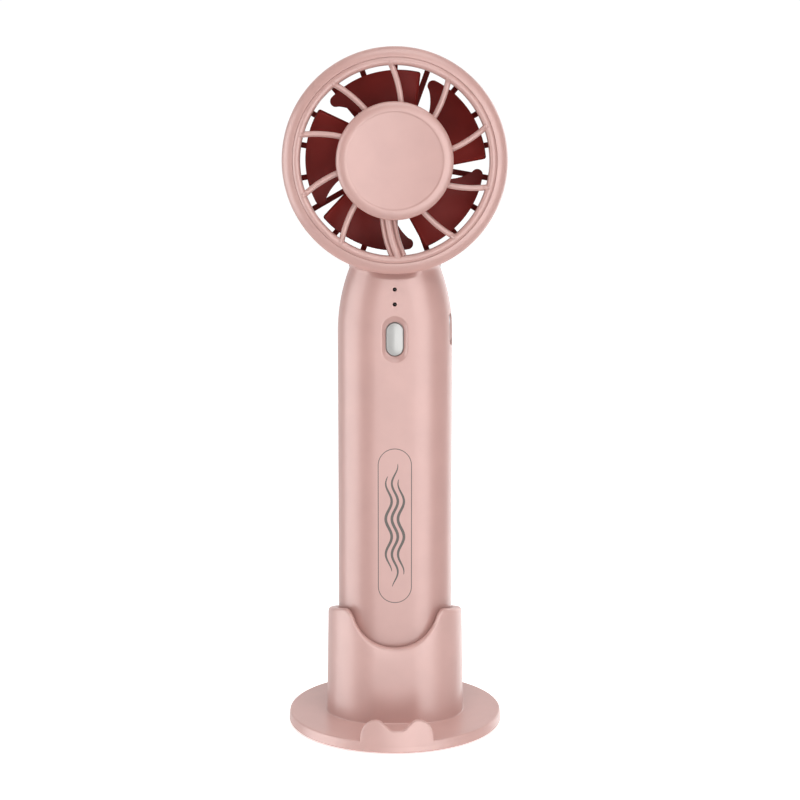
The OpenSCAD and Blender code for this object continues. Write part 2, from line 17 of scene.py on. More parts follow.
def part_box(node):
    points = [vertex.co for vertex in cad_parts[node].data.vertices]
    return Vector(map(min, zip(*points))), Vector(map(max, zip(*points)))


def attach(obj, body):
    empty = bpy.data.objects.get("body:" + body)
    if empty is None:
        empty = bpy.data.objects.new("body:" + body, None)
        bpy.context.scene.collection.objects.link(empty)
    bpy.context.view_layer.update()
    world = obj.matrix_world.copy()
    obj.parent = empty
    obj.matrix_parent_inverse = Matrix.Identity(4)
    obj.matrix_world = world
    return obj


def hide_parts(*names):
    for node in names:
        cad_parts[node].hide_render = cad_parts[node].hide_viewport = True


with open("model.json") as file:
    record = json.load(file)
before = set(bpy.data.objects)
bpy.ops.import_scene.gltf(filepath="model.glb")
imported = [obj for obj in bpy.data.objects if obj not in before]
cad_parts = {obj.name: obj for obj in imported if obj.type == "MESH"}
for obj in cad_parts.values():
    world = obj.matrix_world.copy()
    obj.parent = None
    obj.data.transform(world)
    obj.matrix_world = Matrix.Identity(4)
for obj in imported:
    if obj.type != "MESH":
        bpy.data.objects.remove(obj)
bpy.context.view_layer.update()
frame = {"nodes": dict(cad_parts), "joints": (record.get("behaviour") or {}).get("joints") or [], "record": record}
MM = 0.001

# %% [markdown]
# ## The sizes that several pieces share
# Every size here is in millimetres, and the mesh helpers turn them into metres.
# The head's axis is the impeller's hinge, so its height comes from the joint. A place
# on the head is given as a radius, an angle seen from the front, and a distance "w"
# ahead of the plane where the two shells meet.

# %% Shared sizes
hinge = next(j for j in frame["joints"] if j["name"] == "impeller_spin")
HEAD_Z = hinge["pos_m"][2] / MM
HANDLE_HALF_W, HANDLE_HALF_D, HANDLE_CORNER = 18.45, 13.5, 12.5
FLAT_X, FLAT_Y = 5.95, 1.0  # centres of the corner arcs of the handle and of the cup
HANDLE_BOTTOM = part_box("front_shell")[0][2] / MM
HEAD_R, DUCT_R = 35.2, 31.2


def on_head(r, angle, w):
    return (r * cos(angle), -w, HEAD_Z + r * sin(angle))


print("head axis at", round(HEAD_Z, 2), "mm, handle starts at", round(HANDLE_BOTTOM, 2), "mm")

# %% [markdown]
# ## Mesh helpers
# Nearly every piece is a moulding, so its section is a chain of corners with small
# radii. `rounded` turns corners and radii into points, `skin` covers a grid of points
# with quads, and `revolve` spins a section about the head's axis or the stand's.
# Poles and doubled seams are merged before the normals are made to face outwards.

# %% Chains of rounded corners
def rounded(corners, closed=True, steps=5):
    points = []
    count = len(corners)
    for i, (a, b, radius) in enumerate(corners):
        if radius == 0 or (not closed and i in (0, count - 1)):
            points.append((a, b))
            continue
        here = Vector((a, b))
        before = (Vector(corners[i - 1][:2]) - here).normalized()
        after = (Vector(corners[(i + 1) % count][:2]) - here).normalized()
        half = acos(max(-1, min(1, before.dot(after)))) / 2
        if half > pi / 2 - 0.01:
            points.append((a, b))
            continue
        centre = here + (before + after).normalized() * (radius / sin(half))
        start = here + before * (radius / tan(half)) - centre
        end = here + after * (radius / tan(half)) - centre
        sweep = start.angle_signed(end)
        for k in range(steps + 1):
            point = centre + Matrix.Rotation(-sweep * k / steps, 2) @ start
            points.append((point.x, point.y))
    return points


print("a square's corners become", len(rounded([(0, 0, 1), (4, 0, 1), (4, 4, 1), (0, 4, 1)])), "points")

# %% Grids of points
def as_object(name, shape):
    mesh = bpy.data.meshes.new(name)
    shape.to_mesh(mesh)
    shape.free()
    piece = bpy.data.objects.new(name, mesh)
    bpy.context.scene.collection.objects.link(piece)
    return piece


def skin(name, rows, around=False, along=False, fill=False):
    shape = bmesh.new()
    verts = [[shape.verts.new([c * MM for c in p]) for p in row] for row in rows]
    n, m = len(verts), len(verts[0])
    for i in range(n if along else n - 1):
        here, there = verts[i], verts[(i + 1) % n]
        for j in range(m if around else m - 1):
            k = (j + 1) % m
            shape.faces.new([here[j], here[k], there[k], there[j]])
    bmesh.ops.remove_doubles(shape, verts=shape.verts, dist=2e-6)
    if fill:
        edges = [e for e in shape.edges if e.is_boundary]
        bmesh.ops.holes_fill(shape, edges=edges, sides=0)
    bmesh.ops.dissolve_degenerate(shape, edges=shape.edges, dist=1e-7)
    bmesh.ops.recalc_face_normals(shape, faces=shape.faces)
    return as_object(name, shape)


def revolve(name, profile, steps=144, place=on_head):
    rows = [[place(r, 2 * pi * k / steps, w) for r, w in profile] for k in range(steps)]
    closed = profile[0][0] > 0.01
    return skin(name, rows, around=closed, along=True)


def on_stand(r, angle, z):
    return (r * cos(angle), r * sin(angle), z)


# %% Joining, baking and cutting
def join(name, *pieces):
    shape = bmesh.new()
    for piece in pieces:
        shape.from_mesh(piece.data)
        bpy.data.objects.remove(piece)
    return as_object(name, shape)


def bake(piece):
    graph = bpy.context.evaluated_depsgraph_get()
    mesh = bpy.data.meshes.new_from_object(piece.evaluated_get(graph))
    piece.modifiers.clear()
    piece.data = mesh
    return piece


def cut(piece, *cutters):
    for cutter in cutters:
        tool = piece.modifiers.new("cut", "BOOLEAN")
        tool.operation, tool.solver, tool.object = "DIFFERENCE", "EXACT", cutter
        bake(piece)
        bpy.data.objects.remove(cutter)
    return piece


# %% [markdown]
# ## Finishes
# Real moulded plastic isn't one flat colour. Its texture is a fine spark-eroded grain,
# its gloss changes slightly from place to place, and the colour drifts a little with
# the flow of the melt. One helper builds that from noise on object coordinates, so
# the pattern is fixed to the piece from every side, and each finish sets its own
# colour, gloss and grain size.

# %% A helper for grained surfaces
def finish(name, colour, drift=0.03, gloss=(0.4, 0.48), grain=0.12, depth=0.02, **shader):
    material = bpy.data.materials.new(name)
    material.use_nodes = True
    nodes, links = material.node_tree.nodes, material.node_tree.links
    surface = nodes["Principled BSDF"]
    place = nodes.new("ShaderNodeTexCoord")

    def noise(size_mm, detail):
        texture = nodes.new("ShaderNodeTexNoise")
        texture.inputs["Scale"].default_value = 1 / (size_mm * MM)
        texture.inputs["Detail"].default_value = detail
        links.new(place.outputs["Object"], texture.inputs["Vector"])
        return texture.outputs["Fac"]

    tint = nodes.new("ShaderNodeValToRGB")
    for stop, shift in zip(tint.color_ramp.elements, (-drift, drift)):
        stop.color = [min(1, c * (1 + shift)) for c in colour] + [1]
    tint.color_ramp.elements[0].position, tint.color_ramp.elements[1].position = 0.3, 0.7
    links.new(noise(9, 3), tint.inputs["Fac"])
    links.new(tint.outputs["Color"], surface.inputs["Base Color"])

    polish = nodes.new("ShaderNodeMapRange")
    polish.inputs["To Min"].default_value, polish.inputs["To Max"].default_value = gloss
    links.new(noise(3, 4), polish.inputs["Value"])
    links.new(polish.outputs["Result"], surface.inputs["Roughness"])

    bump = nodes.new("ShaderNodeBump")
    bump.inputs["Distance"].default_value = depth * MM
    bump.inputs["Strength"].default_value = 0.5
    links.new(noise(grain, 2), bump.inputs["Height"])
    links.new(bump.outputs["Normal"], surface.inputs["Normal"])
    for socket, value in shader.items():
        surface.inputs[socket.replace("_", " ")].default_value = value
    return material


def srgb(*levels):
    return [(v / 255 / 12.92) if v < 10 else ((v / 255 + 0.055) / 1.055) ** 2.4 for v in levels]


# %% The finishes by slot
FINISH = {
    "shell_plastic": finish("satin_pink", srgb(194, 152, 145), gloss=(0.30, 0.36), IOR=1.6),
    # The stand is the same pink plastic as the shells, painted lighter: the extra lightness is painted light for
    # the light its plate and cup get less of.
    "stand_plastic": finish("satin_pink_stand_painted_lighter", srgb(205, 164, 157), gloss=(0.32, 0.38), IOR=1.6),
    "maroon_plastic": finish("satin_maroon", srgb(138, 41, 36), drift=0.08,
                             gloss=(0.42, 0.52), IOR=1.25),
    "button_plastic": finish("silver_button", srgb(178, 177, 175), drift=0.02, gloss=(0.24, 0.28),
                             Metallic=0.08),
    "white_plastic": finish("white_tray", srgb(228, 226, 222), gloss=(0.5, 0.6)),
    "black_plastic": finish("black_case", srgb(30, 30, 32), drift=0.1, gloss=(0.45, 0.6)),
    "lens_plastic": finish("smoked_lens", srgb(14, 12, 14), drift=0.05,
                           gloss=(0.12, 0.18), depth=0.002),
    "foam_rubber": finish("foam", srgb(46, 46, 48), drift=0.15,
                          gloss=(0.8, 0.95), grain=0.4, depth=0.1),
    "board_laminate": finish("solder_mask", srgb(32, 92, 60), drift=0.12,
                             gloss=(0.25, 0.4), grain=0.3),
    "steel": finish("plated_steel", srgb(190, 192, 196), drift=0.06,
                    gloss=(0.24, 0.36), Metallic=1.0),
    "magnet_ferrite": finish("ferrite", srgb(60, 60, 64), drift=0.15,
                             gloss=(0.45, 0.6), grain=0.2),
    "brass": finish("turned_brass", srgb(206, 172, 104), drift=0.05,
                    gloss=(0.22, 0.34), Metallic=1.0),
    "copper": finish("enamelled_copper", srgb(184, 104, 60), drift=0.12,
                     gloss=(0.2, 0.32), Metallic=1.0),
    "cell_sleeve": finish("shrink_sleeve", srgb(60, 118, 168), drift=0.05,
                          gloss=(0.2, 0.3), depth=0.01),
    "wire_sleeve": finish("wire_sleeve", srgb(60, 60, 62), drift=0.1,
                          gloss=(0.35, 0.5), depth=0.01),
    "lamp_white": finish("lamp_white", srgb(236, 236, 228), drift=0.04,
                         gloss=(0.25, 0.35), depth=0.01),
}
print(len(FINISH), "finishes, one for each material slot")

# %% [markdown]
# ## Handing a piece over
# A finished piece is shaded smooth, except at edges sharper than a set angle. It gets
# its finish, stands in for its CAD node, and rides on a body. The Weighted Normal
# modifier keeps wide flat faces flat next to small radii.

# %% Finish and place a piece
def hand_over(piece, body, slot, *nodes, sharp=38):
    piece.data.materials.clear()
    piece.data.materials.append(FINISH[slot])
    piece.data.polygons.foreach_set("material_index", [0] * len(piece.data.polygons))
    piece.data.polygons.foreach_set("use_smooth", [True] * len(piece.data.polygons))
    piece.data.set_sharp_from_angle(angle=radians(sharp))
    weighted = piece.modifiers.new("even shading", "WEIGHTED_NORMAL")
    weighted.keep_sharp = True
    if nodes:
        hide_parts(*nodes)
    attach(piece, body)
    piece.data.calc_loop_triangles()
    print(piece.name, "has", len(piece.data.loop_triangles), "triangles")


# %% [markdown]
# ## Copies round the head's axis
# Spokes, blades and struts are one shape repeated round the axis. A Geometry Nodes
# tree does that once for all three: it moves the shape so that the axis is the
# origin, puts one instance on each of "Count" points, turns each by "Step" more than
# the one before, leaves out the number "Left out", and realises the copies.

# %% The tree that turns copies
def copies_tree():
    tree = bpy.data.node_groups.new("turned copies", "GeometryNodeTree")
    for label, kind in (("Geometry", "Geometry"), ("Count", "Int"), ("Step", "Float"),
                        ("Left out", "Int"), ("Axis height", "Float"), ("Material", "Material")):
        tree.interface.new_socket(label, in_out="INPUT", socket_type="NodeSocket" + kind)
    tree.interface.new_socket("Geometry", in_out="OUTPUT", socket_type="NodeSocketGeometry")
    nodes, link = tree.nodes, tree.links.new
    given, result = nodes.new("NodeGroupInput"), nodes.new("NodeGroupOutput")

    def node(kind, **settings):
        made = nodes.new(kind)
        for key, value in settings.items():
            setattr(made, key, value)
        return made

    height = node("ShaderNodeCombineXYZ")
    link(given.outputs["Axis height"], height.inputs["Z"])
    lowered = node("ShaderNodeVectorMath", operation="SCALE")
    lowered.inputs["Scale"].default_value = -1
    link(height.outputs[0], lowered.inputs[0])
    down = node("GeometryNodeTransform")
    link(given.outputs["Geometry"], down.inputs["Geometry"])
    link(lowered.outputs[0], down.inputs["Translation"])

    spots = node("GeometryNodePoints")
    link(given.outputs["Count"], spots.inputs["Count"])
    index = node("GeometryNodeInputIndex")
    kept = node("FunctionNodeCompare", data_type="INT", operation="NOT_EQUAL")
    link(index.outputs[0], kept.inputs[2])
    link(given.outputs["Left out"], kept.inputs[3])
    angle = node("ShaderNodeMath", operation="MULTIPLY")
    link(index.outputs[0], angle.inputs[0])
    link(given.outputs["Step"], angle.inputs[1])
    turn = node("ShaderNodeCombineXYZ")
    link(angle.outputs[0], turn.inputs["Y"])
    as_turn = node("FunctionNodeEulerToRotation")
    link(turn.outputs[0], as_turn.inputs[0])

    copies = node("GeometryNodeInstanceOnPoints")
    link(spots.outputs[0], copies.inputs["Points"])
    link(down.outputs[0], copies.inputs["Instance"])
    link(kept.outputs[0], copies.inputs["Selection"])
    link(as_turn.outputs[0], copies.inputs["Rotation"])
    real = node("GeometryNodeRealizeInstances")
    link(copies.outputs[0], real.inputs[0])
    up = node("GeometryNodeTransform")
    link(real.outputs[0], up.inputs["Geometry"])
    link(height.outputs[0], up.inputs["Translation"])
    paint = node("GeometryNodeSetMaterial")
    link(up.outputs[0], paint.inputs["Geometry"])
    link(given.outputs["Material"], paint.inputs["Material"])
    link(paint.outputs[0], result.inputs[0])
    return tree


COPIES = copies_tree()


def turned_copies(piece, count, step, material, left_out=-1):
    """Copies of the piece round the head's axis, step degrees apart, anticlockwise from the front."""
    tool = piece.modifiers.new("copies", "NODES")
    tool.node_group = COPIES
    values = {"Count": count, "Step": -radians(step), "Left out": left_out,
              "Axis height": HEAD_Z * MM, "Material": material}
    for item in COPIES.interface.items_tree:
        if item.in_out == "INPUT" and item.name in values:
            tool[item.identifier] = values[item.name]
    return bake(piece)


# %% [markdown]
# ## Camera
# The camera stands half a metre in front of the head, level with it, and looks a
# little down, which shows the top of the stand. A long lens keeps the sides of the
# handle upright. A small shift frames the fan without tilting the camera further.

# %% Camera
camera_data = bpy.data.cameras.new("camera")
camera = bpy.data.objects.new("camera", camera_data)
bpy.context.scene.collection.objects.link(camera)
camera.location = (0.001643, -0.520, 0.1818)
camera.rotation_euler = (pi / 2 - 0.119, 0, 0)
camera_data.sensor_width = 36
camera_data.lens = 72.8
camera_data.shift_y = -0.05
camera_data.clip_start, camera_data.clip_end = 0.01, 20
bpy.context.scene.camera = camera
print("lens", camera_data.lens, "mm at", round(-camera.location.y, 3), "m")

# %% [markdown]
# ## Light and floor
# Satin plastic shows its shape through wide, soft reflections. The room is white to the
# camera, but lights the object as a gradient: white behind it and dim on the other
# sides, so that the panels can draw the form. A front panel that only reflections see
# lights the flat face, one at the left draws a second light band with a darker gap
# between, and one behind at the right draws the far edge. An overhead panel lights the
# stand's top. The floor gives off some light itself, so it stays white in the distance.

# %% The room
scene = bpy.context.scene
scene.view_settings.view_transform = "Standard"
room = bpy.data.worlds.new("white room")
scene.world = room
room.use_nodes = True
room_nodes, room_links = room.node_tree.nodes, room.node_tree.links
direction = room_nodes.new("ShaderNodeTexCoord")
split = room_nodes.new("ShaderNodeSeparateXYZ")
depth_ramp = room_nodes.new("ShaderNodeMapRange")
depth_ramp.inputs["From Min"].default_value, depth_ramp.inputs["From Max"].default_value = 0.3, 0.93
depth_ramp.inputs["To Min"].default_value, depth_ramp.inputs["To Max"].default_value = 0.38, 1.03
room_links.new(direction.outputs["Generated"], split.inputs[0])
room_links.new(split.outputs["Y"], depth_ramp.inputs["Value"])
ray = room_nodes.new("ShaderNodeLightPath")
seen = room_nodes.new("ShaderNodeMath")
seen.operation = "MAXIMUM"
room_links.new(depth_ramp.outputs["Result"], seen.inputs[0])
room_links.new(ray.outputs["Is Camera Ray"], seen.inputs[1])
room_links.new(seen.outputs[0], room_nodes["Background"].inputs["Strength"])
room_nodes["Background"].inputs["Color"].default_value = (1, 1, 1, 1)


# %% Panels
def panel(name, azimuth, rise, distance, width, height, radiance, diffuse=True):
    """A soft panel aimed at the handle. Azimuth 0 is straight in front, 90 is to the right."""
    turn = radians(azimuth)
    middle = Vector((0, 0, 0.12))
    place = middle + Vector((sin(turn) * distance, -cos(turn) * distance, rise))
    data = bpy.data.lights.new(name, "AREA")
    data.shape, data.size, data.size_y = "RECTANGLE", width, height
    data.energy = radiance * pi * width * height
    light = bpy.data.objects.new(name, data)
    light.location = place
    light.rotation_euler = (middle - place).to_track_quat("-Z", "Y").to_euler()
    light.visible_diffuse = diffuse
    scene.collection.objects.link(light)
    print(name, "shines at", radiance, "from", [round(c, 2) for c in place])


panel("front right panel", 34, 0.75, 1.2, 0.7, 0.7, 0.7)
panel("overhead panel", 15, 1.2, 0.5, 1.1, 1.1, 2.8)
panel("front gloss", 23, 0.0, 1.3, 1.35, 1.3, 3.7, diffuse=False)
panel("left gloss", -80, 0.0, 1.3, 1.35, 1.3, 3.8, diffuse=False)
panel("right gloss", 140, 0.0, 1.3, 0.95, 1.3, 1.4, diffuse=False)

# %% Floor
floor_mesh = bpy.data.meshes.new("floor")
floor_mesh.from_pydata([(-6, -6, 0), (6, -6, 0), (6, 6, 0), (-6, 6, 0)], [], [(0, 1, 2, 3)])
floor = bpy.data.objects.new("floor", floor_mesh)
scene.collection.objects.link(floor)
floor_mesh.materials.append(finish(
    "pale floor", (0.9, 0.9, 0.9), drift=0.005, gloss=(0.6, 0.65), grain=3,
    Emission_Color=(1, 1, 1, 1), Emission_Strength=0.58))
floor.visible_glossy = floor.visible_shadow = False

# %% [markdown]
# ## The shells' outer form
# Each shell half is half of a rounded block. Low down its sections are level. Towards
# the head they bend until they follow circles about the head's axis, so that the front
# face can end in a soft ridge that runs round the head, with a shallow recess above it.
# `half_width` narrows the shoulders on a large arc and flares into a small fillet
# where the neck meets the head.

# %% Half width and section of the handle
SHOULDER_Z, SHOULDER_R, NECK_FILLET = 129.0, 57.8, 1.5


def half_width(x, z):
    half = HANDLE_HALF_W
    if z > SHOULDER_Z:
        half += sqrt(SHOULDER_R ** 2 - (z - SHOULDER_Z) ** 2) - SHOULDER_R
    reach = hypot(x, HEAD_Z - z) - HEAD_R
    if reach < NECK_FILLET:
        gap = NECK_FILLET - max(reach, 0)
        half += NECK_FILLET - sqrt(max(NECK_FILLET ** 2 - gap ** 2, 0))
    return half


def quarter(half, depth, corner):
    """From the seam at the side to the middle of the face: (x, depth) points."""
    points = [(half - 0.16, 0.02), (half - 0.05, 0.07), (half, 0.2)]
    side = depth - corner
    points += [(half, 0.2 + (side - 0.2) * k / 2) for k in (1, 2)] if side > 0.4 else []
    for k in range(1, 17):
        turn = pi / 2 * k / 16
        points.append((half - corner + corner * cos(turn), depth - corner + corner * sin(turn)))
    points += [((half - corner) * (1 - k / 4), depth) for k in range(1, 5)]
    return points


SECTION = quarter(HANDLE_HALF_W, HANDLE_HALF_D, HANDLE_CORNER)
print("section of", len(SECTION), "points from side to middle")

# %% [markdown]
# A row is one section of the skin. `bend` says how far it follows the head's circle,
# `depth` is the depth of the front face there, and a point deeper than that is pulled
# in softly, which makes the recess run out at the neck's sides.

# %% One row of the shell's skin
def soft_min(a, b, blend):
    mix = max(0, min(1, 0.5 + (b - a) / (2 * blend)))
    return b + (a - b) * mix - blend * mix * (1 - mix)


def shell_row(mid_z, bend, depth, side, squeeze=1.0, inset=0.0):
    reach = HEAD_Z - mid_z
    row = []
    for k, (x, _) in enumerate(SECTION):
        z = mid_z
        for _ in range(12):  # the place and its bend depend on each other, and settle
            half = half_width(x, z) - inset
            x, y = quarter(half, HANDLE_HALF_D - inset, HANDLE_CORNER - inset)[k]
            z = mid_z + bend * (reach - sqrt(max(reach ** 2 - x ** 2, 1)))
        if depth < HANDLE_HALF_D:
            y = soft_min(y, depth, min(0.8, 3 * (HANDLE_HALF_D - depth)))
        row.append((x, y, z))
    whole = row + [(-x, y, z) for x, y, z in reversed(row[:-1])]
    return [(x, -side * max(y * squeeze, 0.02), z) for x, y, z in whole]


# %% Rows from the foot of the handle to the head
FOOT_R, BEND_FROM, BEND_TO, NECK_END_R = 1.2, 116, 142, 34.4
NECK_DROP = [  # distance from the head's axis, and how far the front face drops there
    (41, 0), (39.9, 0), (38.8, 0), (38.0, 0), (37.4, 0), (37.15, 0.01), (36.95, 0.04),
    (36.75, 0.11), (36.55, 0.21), (36.35, 0.35), (36.15, 0.5), (35.9, 0.7), (35.6, 0.9),
    (35.25, 1.06), (34.9, 1.12)]


def shell_skin(name, side):
    """Half of the handle's block: side 1 is the front with the neck's recess, -1 the back."""
    rows = []
    for shrink in (0.02, 0.35, 0.7, 0.9):
        rows.append([(x * shrink, y * shrink, z) for x, y, z in
                     shell_row(HANDLE_BOTTOM, 0, HANDLE_HALF_D, side, inset=FOOT_R)])
    for k in range(6):
        turn = pi / 2 * k / 5
        rows.append(shell_row(HANDLE_BOTTOM + FOOT_R * (1 - cos(turn)), 0, HANDLE_HALF_D, side,
                              inset=FOOT_R * (1 - sin(turn))))
    rows += [shell_row(z, 0, HANDLE_HALF_D, side) for z in np.linspace(12, BEND_FROM, 27)]
    for z in np.linspace(118, BEND_TO, 17):
        t = (z - BEND_FROM) / (BEND_TO - BEND_FROM)
        rows.append(shell_row(z, t ** 2 * (3 - 2 * t), HANDLE_HALF_D, side))
    drops = [(r, drop if side > 0 else 0) for r, drop in NECK_DROP]
    rows += [shell_row(HEAD_Z - r, 1, HANDLE_HALF_D - drop, side) for r, drop in drops]
    last = HANDLE_HALF_D - drops[-1][1]
    rows += [shell_row(HEAD_Z - NECK_END_R, 1, last, side, squeeze=s) for s in (1, 0.7, 0.35, 0)]
    return skin(name, rows, fill=True)


front_half = shell_skin("front_skin", 1)
rear_half = shell_skin("rear_skin", -1)
print("shell halves:", len(front_half.data.polygons), "and", len(rear_half.data.polygons), "faces")

# %% [markdown]
# ## Hollowing and opening the shells
# The block is hollowed with a smaller one, as a mould core would do. The button's
# recess is cut by a stack of capsules that narrow with depth, so that its mouth is soft
# and its wall falls to a slot round the button. The lamps, the charging port and the
# screw heads get cutters of the same kind.

# %% Cutters
def capsule_ring(half_w, half_h, steps=20):
    turns = [pi * k / steps for k in range(steps + 1)]
    top = [(half_w * cos(turn), half_h - half_w + half_w * sin(turn)) for turn in turns]
    return top + [(-a, -b) for a, b in top]


def capsule_stack(name, levels, place):
    """Capsules of half width, half height and level, skinned into one closed solid."""
    rows = [[place(a, b, level) for a, b in capsule_ring(half_w, half_h)]
            for half_w, half_h, level in levels]
    return skin(name, rows, around=True, fill=True)


def flared(half_w, half_h, depth, edge):
    """Levels of a cutter whose mouth opens on a round edge; level 0 is the surface."""
    levels = [(half_w + edge, half_h + edge, -1.0)]
    for k in range(7):
        turn = pi / 2 * k / 6
        wider = edge * (1 - sin(turn))
        levels.append((half_w + wider, half_h + wider, edge * (1 - cos(turn))))
    return levels + [(half_w, half_h, depth)]


BUTTON_Z, PORT_Y, PORT_Z = 127.7, -3.75, 130.1
LAMP_Z, LAMP_HOLE_R = (138.8, 143.5), 0.66
SLIVER = 0.0001  # the straight side of a capsule that stands in for a circle


def into_front(z):
    return lambda a, b, level: (a, -HANDLE_HALF_D + level, z + b)


def into_side(a, b, level):
    return (HANDLE_HALF_W - level, PORT_Y + a, PORT_Z + b)


WALL = 1.9


def cavity(side):
    rows = []
    levels = [(6.1, 2.6), (6.4, 2.1)]
    levels += [(z, WALL) for z in (7, 60, 110, 122, 129, 134, 139, 143, 146)]
    for z, inset in levels:
        half = shell_row(z, 0, HANDLE_HALF_D, side, inset=inset)
        rows.append([(x, y if abs(y) > 0.3 else side, z) for x, y, z in half])
    return skin("cavity", rows, around=True, fill=True)


# %% Front shell, lower part
RECESS = [  # half width, half height, depth
    (4.3, 7.6, -1), (4.3, 7.6, 0), (4.15, 7.45, 0.02), (4.0, 7.3, 0.08), (3.88, 7.18, 0.17),
    (3.75, 7.02, 0.28), (3.4, 6.45, 0.58), (3.2, 6.1, 0.75), (3.05, 5.8, 0.84),
    (2.95, 5.6, 0.88), (2.86, 5.45, 0.96), (2.82, 5.38, 1.1), (2.82, 5.38, 5)]
cut(front_half, cavity(1))
cut(front_half,
    capsule_stack("recess", RECESS, into_front(BUTTON_Z)),
    *[capsule_stack("lamp hole", flared(LAMP_HOLE_R, LAMP_HOLE_R + SLIVER, 3, 0.05), into_front(z))
      for z in LAMP_Z],
    capsule_stack("port mouth", flared(2.0, 5.2, 4, 0.05), into_side))
print("front shell opened:", len(front_half.data.polygons), "faces")

# %% Rear shell, lower part
SCREWS = [(x, z) for x in (-13, 13) for z in (18, 108)]
WELL_R, WELL_MOUTH_R, WELL_FLOOR_Y = 2.2, 2.9, 4.4
cut(rear_half, cavity(-1))
for x, z in SCREWS:
    surface = FLAT_Y + sqrt(HANDLE_CORNER ** 2 - (abs(x) - FLAT_X) ** 2)
    levels = [(WELL_R, WELL_R + SLIVER, y) for y in (WELL_FLOOR_Y, surface - 1.2, surface - 0.4)]
    levels.append((WELL_MOUTH_R, WELL_MOUTH_R + SLIVER, 15))
    cut(rear_half, capsule_stack("screw well", levels,
                                 lambda a, b, level, x=x, z=z: (x + a, level, z + b)))
print("rear shell opened:", len(rear_half.data.polygons), "faces")

# %% [markdown]
# The screw bosses are plain tubes inside the shells. They show only down the screw
# wells, so one small helper makes them all.

# %% Bosses inside the shells
def boss(x, z, outer, inner, near, far):
    """A tube from near to far, ended inside the shell's wall where it would pass it."""
    section = rounded([(inner, near, 0.15), (outer, near, 0.15), (outer, far, 0), (inner, far, 0)],
                      steps=2)

    def place(r, turn, y):
        at = x + r * cos(turn)
        in_wall = FLAT_Y + sqrt((HANDLE_CORNER - 1) ** 2 - max(abs(at) - FLAT_X, 0) ** 2)
        return (at, max(-in_wall, min(in_wall, y)), z + r * sin(turn))

    return revolve("boss", section, steps=32, place=place)


rear_bosses = [boss(x, z, 3.3, 2.2, 4.5, 13) for x, z in SCREWS]
rear_bosses += [boss(x, z, 3.3, 1.2, 0.1, 4.5) for x, z in SCREWS]
front_bosses = [boss(x, z, 2.7, 1.02, -13, -0.1) for x, z in SCREWS]

# %% [markdown]
# ## The head's two drums
# The head is a straight tube with a large rounded outer edge at the front and a
# smaller one at the back. Both are revolved from one section each, with the step that
# seats the grille and the fine bevels where the halves meet.

# %% Drums
front_drum = revolve("front_drum", rounded([
    (DUCT_R, 0.04, 0.1), (HEAD_R, 0.04, 0.16), (HEAD_R, 16.4, 3.4), (31.7, 16.4, 0.25),
    (31.7, 12.9, 0), (DUCT_R, 12.9, 0.1)], steps=9), steps=180)
rear_drum = revolve("rear_drum", rounded([
    (DUCT_R, -0.04, 0.1), (HEAD_R, -0.04, 0.16), (HEAD_R, -14, 2.4), (32.6, -14, 0.12),
    (32.6, -10.8, 0), (DUCT_R, -10.8, 0.1)], steps=7), steps=180)
front_shell = join("front_shell_moulding", front_half, front_drum, *front_bosses)
rear_shell = join("rear_shell_moulding", rear_half, rear_drum, *rear_bosses)
hand_over(front_shell, "fan", "shell_plastic", "front_shell", sharp=34)
hand_over(rear_shell, "fan", "shell_plastic", "rear_shell", sharp=34)

# %% [markdown]
# ## Front grille
# The grille is one moulding: a round-edged rim, nine thin bowed spokes, one broad
# spoke that is hollowed as a channel for the motor's wires, and a shallow tray in the
# middle for the motor. Each spoke follows an arc, so it is swept: a section stands at
# every station of the arc. Its end rises over the rim and closes in a round bump.

# %% The bow that every spoke follows
BOW_R, BOW_CENTRE_R, BOW_CENTRE_A = 36.4, 37.25, radians(64.9)
FIRST_SPOKE, SPOKE_STEP, CHANNEL_INDEX = radians(92), 36, 5
SPOKE_FROM, THIN_TO, CHANNEL_TO, SPOKE_BACK = 16.8, 31.1, 30.0, 13.4
CHANNEL_A = FIRST_SPOKE - radians(SPOKE_STEP * CHANNEL_INDEX)


def bow_angle(r):
    """Where on its own circle the bow passes the radius r."""
    return pi + acos((BOW_CENTRE_R ** 2 + BOW_R ** 2 - r * r) / (2 * BOW_CENTRE_R * BOW_R))


def bow_point(first, radius_from, travel, across, w):
    """A point on the bow of a spoke: travel from radius_from outwards, across to its side."""
    here = first + BOW_CENTRE_A
    angle = here + bow_angle(radius_from) + travel / BOW_R
    x = BOW_CENTRE_R * cos(here) + (BOW_R + across) * cos(angle)
    z = BOW_CENTRE_R * sin(here) + (BOW_R + across) * sin(angle)
    return (x, -w, HEAD_Z + z), hypot(x, z)


def bow_length(from_r, to_r):
    return (bow_angle(to_r) - bow_angle(from_r)) * BOW_R


print("a thin spoke is", round(bow_length(SPOKE_FROM, THIN_TO), 2), "mm long")

# %% Sweeping a section along the bow
def ease(value, low, high):
    t = max(0, min(1, (value - low) / (high - low)))
    return t * t * (3 - 2 * t)


def swept_spoke(name, first, from_r, to_r, section, half_w, round_end=True, stations=46):
    """section(half width, radius, size) gives a chain of (across, w) points; size ends at 0."""
    total = bow_length(from_r, to_r)
    rows = []
    for k in range(stations + 1):
        travel = total * (1 - (1 - k / stations) ** 1.6)  # stations crowd towards the end
        left = total - travel
        wide = half_w
        if round_end and left < half_w:
            wide = half_w * sqrt(max(1 - (1 - left / half_w) ** 2, 0))
        r = bow_point(first, from_r, travel, 0, 0)[1]
        chain = section(max(wide, 0.001), r, wide / half_w)
        rows.append([bow_point(first, from_r, travel, a, w)[0] for a, w in chain])
    return skin(name, rows, around=True, fill=True)


